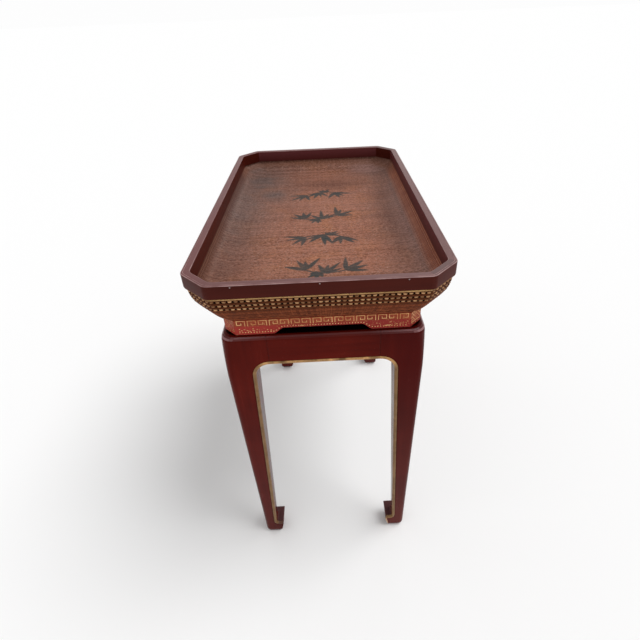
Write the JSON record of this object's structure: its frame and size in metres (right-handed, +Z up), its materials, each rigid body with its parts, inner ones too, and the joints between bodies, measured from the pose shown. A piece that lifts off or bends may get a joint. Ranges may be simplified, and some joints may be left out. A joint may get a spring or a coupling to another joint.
{
  "type": "tray table",
  "caption": "Woven bamboo tray with canted corners, lacquered rim and fretted foot, resting loose on a dark red lacquer stand with hoof feet and gilt beads.",
  "frame": {"origin": "on the floor under the middle of the stand", "axes": "+Z up, +Y along the table, +X across it; the short end in the picture faces -Y"},
  "size_m": [0.372, 0.642, 0.635],
  "materials": {
    "oxblood_lacquer": "gloss lacquer",
    "rim_lacquer": "satin lacquer",
    "foot_lacquer": "worn red lacquer with gilt fret",
    "basket_bamboo": "woven, lacquered and gilded",
    "dish_bamboo": "fine twill weave, worn lacquer",
    "gilding": "gilt on wood",
    "bare_wood": "unfinished",
    "brass": "dull"
  },
  "bodies": {
    "stand": {"leg_front_left": "oxblood_lacquer", "leg_front_right": "oxblood_lacquer", "leg_back_right": "oxblood_lacquer", "leg_back_left": "oxblood_lacquer", "apron_front": "oxblood_lacquer", "apron_right": "oxblood_lacquer", "apron_back": "oxblood_lacquer", "apron_left": "oxblood_lacquer", "top_panel": "oxblood_lacquer", "cross_rail_front": "bare_wood", "cross_rail_back": "bare_wood", "corner_block_front_left": "bare_wood", "corner_block_front_right": "bare_wood", "corner_block_back_right": "bare_wood", "corner_block_back_left": "bare_wood", "gilt_bead_front": "gilding", "gilt_bead_right": "gilding", "gilt_bead_back": "gilding", "gilt_bead_left": "gilding"},
    "tray": {"foot_front": "foot_lacquer", "foot_front_right": "foot_lacquer", "foot_right": "foot_lacquer", "foot_back_right": "foot_lacquer", "foot_back": "foot_lacquer", "foot_back_left": "foot_lacquer", "foot_left": "foot_lacquer", "foot_front_left": "foot_lacquer", "floor_batten_front": "bare_wood", "floor_batten_middle": "bare_wood", "floor_batten_back": "bare_wood", "outer_basket": "basket_bamboo", "woven_dish": "dish_bamboo", "gilt_hoop": "gilding", "rim_front": "rim_lacquer", "rim_front_right": "rim_lacquer", "rim_right": "rim_lacquer", "rim_back_right": "rim_lacquer", "rim_back": "rim_lacquer", "rim_back_left": "rim_lacquer", "rim_left": "rim_lacquer", "rim_front_left": "rim_lacquer", "rim_pin_front_1": "brass", "rim_pin_front_2": "brass", "rim_pin_front_3": "brass", "rim_pin_right_1": "brass", "rim_pin_right_2": "brass", "rim_pin_right_3": "brass", "rim_pin_right_4": "brass", "rim_pin_right_5": "brass", "rim_pin_back_1": "brass", "rim_pin_back_2": "brass", "rim_pin_back_3": "brass", "rim_pin_left_1": "brass", "rim_pin_left_2": "brass", "rim_pin_left_3": "brass", "rim_pin_left_4": "brass", "rim_pin_left_5": "brass"}
  },
  "joints": [
    {"name": "tray_lift", "type": "slide", "parent": "stand", "child": "tray", "axis": [0, 0, 1], "range_m": [0, 0.15]}
  ]
}
